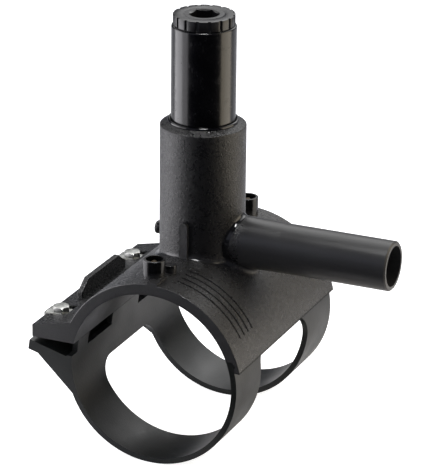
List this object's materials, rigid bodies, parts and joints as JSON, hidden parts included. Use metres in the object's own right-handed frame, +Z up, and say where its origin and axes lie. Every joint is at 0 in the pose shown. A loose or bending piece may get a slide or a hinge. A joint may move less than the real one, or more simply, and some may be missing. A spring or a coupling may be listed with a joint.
{
  "type": "electrofusion tapping saddle",
  "caption": "Black saddle with a split lower clamp, an upright valve tower with a hexagon key socket, and a side spigot, for branching off a plastic main.",
  "frame": {"origin": "on the main pipe's axis, straight below the tower's axis", "axes": "+X towards the outlet spigot, +Y along the main pipe, +Z up the tower"},
  "size_m": [0.2172, 0.156, 0.2752],
  "materials": {
    "pe_textured": "moulded polyethylene with a fine spark-eroded texture",
    "pe_gloss": "smooth glossy extruded polyethylene",
    "pe_satin": "satin moulded plastic",
    "zinc_steel": "bright zinc plating",
    "brass": "turned brass",
    "cutter_steel": "ground tool steel",
    "seal_rubber": "smooth seal rubber",
    "resistance_wire": "bare resistance wire"
  },
  "bodies": {
    "saddle": {"saddle_body": "pe_textured", "lower_clamp": "pe_textured", "valve_tube": "pe_gloss", "tube_seal_lower": "seal_rubber", "tube_seal_upper": "seal_rubber", "crown_ring": "pe_satin", "thrust_washer": "brass", "guide_bush": "brass", "heating_coil": "resistance_wire", "clamp_screw_front": "zinc_steel", "clamp_washer_front": "zinc_steel", "clamp_nut_front": "zinc_steel", "terminal_pin_front": "brass", "clamp_screw_rear": "zinc_steel", "clamp_washer_rear": "zinc_steel", "clamp_nut_rear": "zinc_steel", "terminal_pin_rear": "brass"},
    "spindle": {"spindle": "pe_satin", "spindle_seal_lower": "seal_rubber", "spindle_seal_upper": "seal_rubber"},
    "cutter": {"cutter_holder": "brass", "cutter": "cutter_steel"},
    "indicator_front": {"fusion_indicator_front": "pe_satin"},
    "indicator_rear": {"fusion_indicator_rear": "pe_satin"}
  },
  "joints": [
    {"name": "spindle_turn", "type": "hinge", "parent": "saddle", "child": "spindle", "pos_m": [0, 0, 0.19], "axis": [0, 0, 1], "range_deg": [-5040, 0]},
    {"name": "cutter_feed", "type": "slide", "parent": "spindle", "child": "cutter", "axis": [0, 0, 1], "range_m": [-0.042, 0]},
    {"name": "indicator_front_rise", "type": "slide", "parent": "saddle", "child": "indicator_front", "axis": [0, 0, 1], "range_m": [0, 0.0025]},
    {"name": "indicator_rear_rise", "type": "slide", "parent": "saddle", "child": "indicator_rear", "axis": [0, 0, 1], "range_m": [0, 0.0025]}
  ],
  "couplings": [
    {"joint": "cutter_feed", "follows": "spindle_turn", "m_per_rad": 0.00047746}
  ]
}
